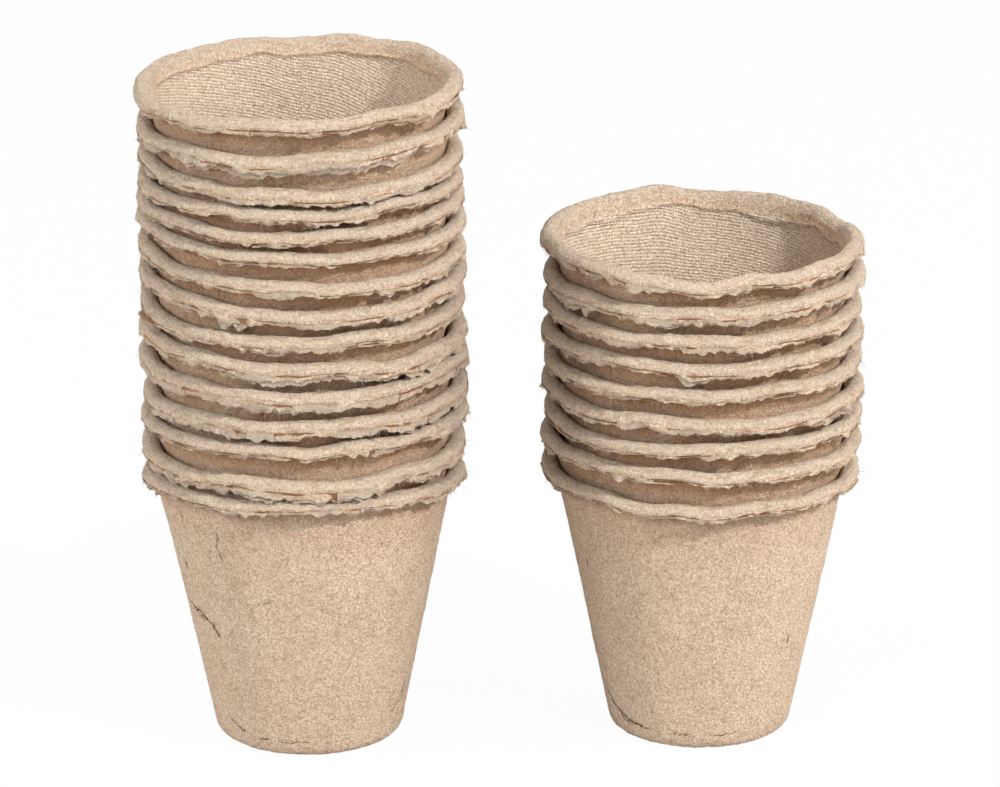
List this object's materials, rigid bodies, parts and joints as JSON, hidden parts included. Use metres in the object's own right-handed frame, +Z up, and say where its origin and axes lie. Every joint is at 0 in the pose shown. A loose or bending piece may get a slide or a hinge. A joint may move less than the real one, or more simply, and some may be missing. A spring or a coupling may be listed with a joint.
{
  "type": "nested fibre plant pots",
  "caption": "Round moulded-fibre seedling pots with rolled rims, nested in a tall and a shorter upright stack; each pot lifts out of the one below.",
  "frame": {"origin": "on the surface that the stacks stand on, midway between their upright axes", "axes": "+Z up, +X from the taller left stack to the shorter right one, +Y away from the viewer"},
  "size_m": [0.1774, 0.0838, 0.1677],
  "materials": {
    "fibre": "dry, matt, felted fibre"
  },
  "bodies": {
    "left_pot_01": {"left_pot_01": "fibre"},
    "left_pot_02": {"left_pot_02": "fibre"},
    "left_pot_03": {"left_pot_03": "fibre"},
    "left_pot_04": {"left_pot_04": "fibre"},
    "left_pot_05": {"left_pot_05": "fibre"},
    "left_pot_06": {"left_pot_06": "fibre"},
    "left_pot_07": {"left_pot_07": "fibre"},
    "left_pot_08": {"left_pot_08": "fibre"},
    "left_pot_09": {"left_pot_09": "fibre"},
    "left_pot_10": {"left_pot_10": "fibre"},
    "left_pot_11": {"left_pot_11": "fibre"},
    "left_pot_12": {"left_pot_12": "fibre"},
    "left_pot_13": {"left_pot_13": "fibre"},
    "left_pot_14": {"left_pot_14": "fibre"},
    "left_pot_15": {"left_pot_15": "fibre"},
    "right_pot_01": {"right_pot_01": "fibre"},
    "right_pot_02": {"right_pot_02": "fibre"},
    "right_pot_03": {"right_pot_03": "fibre"},
    "right_pot_04": {"right_pot_04": "fibre"},
    "right_pot_05": {"right_pot_05": "fibre"},
    "right_pot_06": {"right_pot_06": "fibre"},
    "right_pot_07": {"right_pot_07": "fibre"},
    "right_pot_08": {"right_pot_08": "fibre"},
    "right_pot_09": {"right_pot_09": "fibre"}
  },
  "joints": [
    {"name": "left_pot_02_lift", "type": "slide", "parent": "left_pot_01", "child": "left_pot_02", "axis": [0, 0, 1], "range_m": [0, 0.066]},
    {"name": "left_pot_03_lift", "type": "slide", "parent": "left_pot_02", "child": "left_pot_03", "axis": [0, 0, 1], "range_m": [0, 0.066]},
    {"name": "left_pot_04_lift", "type": "slide", "parent": "left_pot_03", "child": "left_pot_04", "axis": [0, 0, 1], "range_m": [0, 0.066]},
    {"name": "left_pot_05_lift", "type": "slide", "parent": "left_pot_04", "child": "left_pot_05", "axis": [0, 0, 1], "range_m": [0, 0.066]},
    {"name": "left_pot_06_lift", "type": "slide", "parent": "left_pot_05", "child": "left_pot_06", "axis": [0, 0, 1], "range_m": [0, 0.066]},
    {"name": "left_pot_07_lift", "type": "slide", "parent": "left_pot_06", "child": "left_pot_07", "axis": [0, 0, 1], "range_m": [0, 0.066]},
    {"name": "left_pot_08_lift", "type": "slide", "parent": "left_pot_07", "child": "left_pot_08", "axis": [0, 0, 1], "range_m": [0, 0.066]},
    {"name": "left_pot_09_lift", "type": "slide", "parent": "left_pot_08", "child": "left_pot_09", "axis": [0, 0, 1], "range_m": [0, 0.066]},
    {"name": "left_pot_10_lift", "type": "slide", "parent": "left_pot_09", "child": "left_pot_10", "axis": [0, 0, 1], "range_m": [0, 0.066]},
    {"name": "left_pot_11_lift", "type": "slide", "parent": "left_pot_10", "child": "left_pot_11", "axis": [0, 0, 1], "range_m": [0, 0.066]},
    {"name": "left_pot_12_lift", "type": "slide", "parent": "left_pot_11", "child": "left_pot_12", "axis": [0, 0, 1], "range_m": [0, 0.066]},
    {"name": "left_pot_13_lift", "type": "slide", "parent": "left_pot_12", "child": "left_pot_13", "axis": [0, 0, 1], "range_m": [0, 0.066]},
    {"name": "left_pot_14_lift", "type": "slide", "parent": "left_pot_13", "child": "left_pot_14", "axis": [0, 0, 1], "range_m": [0, 0.066]},
    {"name": "left_pot_15_lift", "type": "slide", "parent": "left_pot_14", "child": "left_pot_15", "axis": [0, 0, 1], "range_m": [0, 0.066]},
    {"name": "right_pot_01_lift", "type": "slide", "parent": "left_pot_01", "child": "right_pot_01", "axis": [0, 0, 1], "range_m": [0, 0.066]},
    {"name": "right_pot_02_lift", "type": "slide", "parent": "right_pot_01", "child": "right_pot_02", "axis": [0, 0, 1], "range_m": [0, 0.066]},
    {"name": "right_pot_03_lift", "type": "slide", "parent": "right_pot_02", "child": "right_pot_03", "axis": [0, 0, 1], "range_m": [0, 0.066]},
    {"name": "right_pot_04_lift", "type": "slide", "parent": "right_pot_03", "child": "right_pot_04", "axis": [0, 0, 1], "range_m": [0, 0.066]},
    {"name": "right_pot_05_lift", "type": "slide", "parent": "right_pot_04", "child": "right_pot_05", "axis": [0, 0, 1], "range_m": [0, 0.066]},
    {"name": "right_pot_06_lift", "type": "slide", "parent": "right_pot_05", "child": "right_pot_06", "axis": [0, 0, 1], "range_m": [0, 0.066]},
    {"name": "right_pot_07_lift", "type": "slide", "parent": "right_pot_06", "child": "right_pot_07", "axis": [0, 0, 1], "range_m": [0, 0.066]},
    {"name": "right_pot_08_lift", "type": "slide", "parent": "right_pot_07", "child": "right_pot_08", "axis": [0, 0, 1], "range_m": [0, 0.066]},
    {"name": "right_pot_09_lift", "type": "slide", "parent": "right_pot_08", "child": "right_pot_09", "axis": [0, 0, 1], "range_m": [0, 0.066]}
  ]
}
